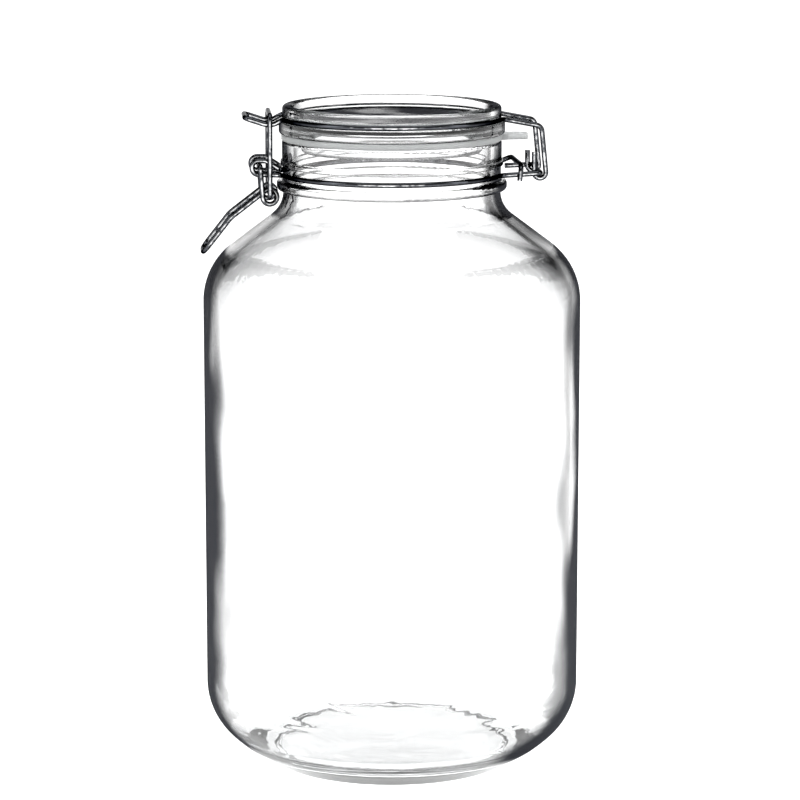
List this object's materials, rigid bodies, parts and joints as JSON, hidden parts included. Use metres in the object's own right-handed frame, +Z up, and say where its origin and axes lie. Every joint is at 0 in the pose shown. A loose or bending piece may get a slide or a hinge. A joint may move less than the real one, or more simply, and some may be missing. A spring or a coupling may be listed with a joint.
{
  "type": "clip-top glass storage jar",
  "caption": "Large clear glass storage jar, empty and shut, with a hinged glass lid, a sealing ring with a pull tab, and an over-centre wire clip.",
  "frame": {"origin": "on the jar's axis, on the surface that the jar stands on", "axes": "+Z up along the jar's axis, +X towards the lid's hinge, -X towards the latch"},
  "size_m": [0.171, 0.17, 0.2986],
  "materials": {
    "clear_glass": "clear, fire-polished",
    "steel_wire": "bright drawn stainless steel wire",
    "gasket_rubber": "translucent pale grey, satin"
  },
  "bodies": {
    "jar": {"jar_glass": "clear_glass", "neck_ring": "steel_wire"},
    "lid": {"lid_glass": "clear_glass", "lid_ring": "steel_wire", "gasket": "gasket_rubber"},
    "latch_lever": {"lever": "steel_wire"},
    "latch_bail": {"bail": "steel_wire"}
  },
  "joints": [
    {"name": "lid_hinge", "type": "hinge", "parent": "jar", "child": "lid", "pos_m": [0.0652, 0, 0.2692], "axis": [0, 1, 0], "range_deg": [0, 190]},
    {"name": "lever_pivot", "type": "hinge", "parent": "jar", "child": "latch_lever", "pos_m": [-0.0593, 0, 0.2722], "axis": [0, 1, 0], "range_deg": [0, 110]},
    {"name": "bail_pivot", "type": "hinge", "parent": "latch_lever", "child": "latch_bail", "pos_m": [-0.0551, 0, 0.2588], "axis": [0, 1, 0], "range_deg": [-96.8, 0]}
  ],
  "couplings": [
    {"joint": "bail_pivot", "follows": "lever_pivot", "ratio": -0.88}
  ]
}
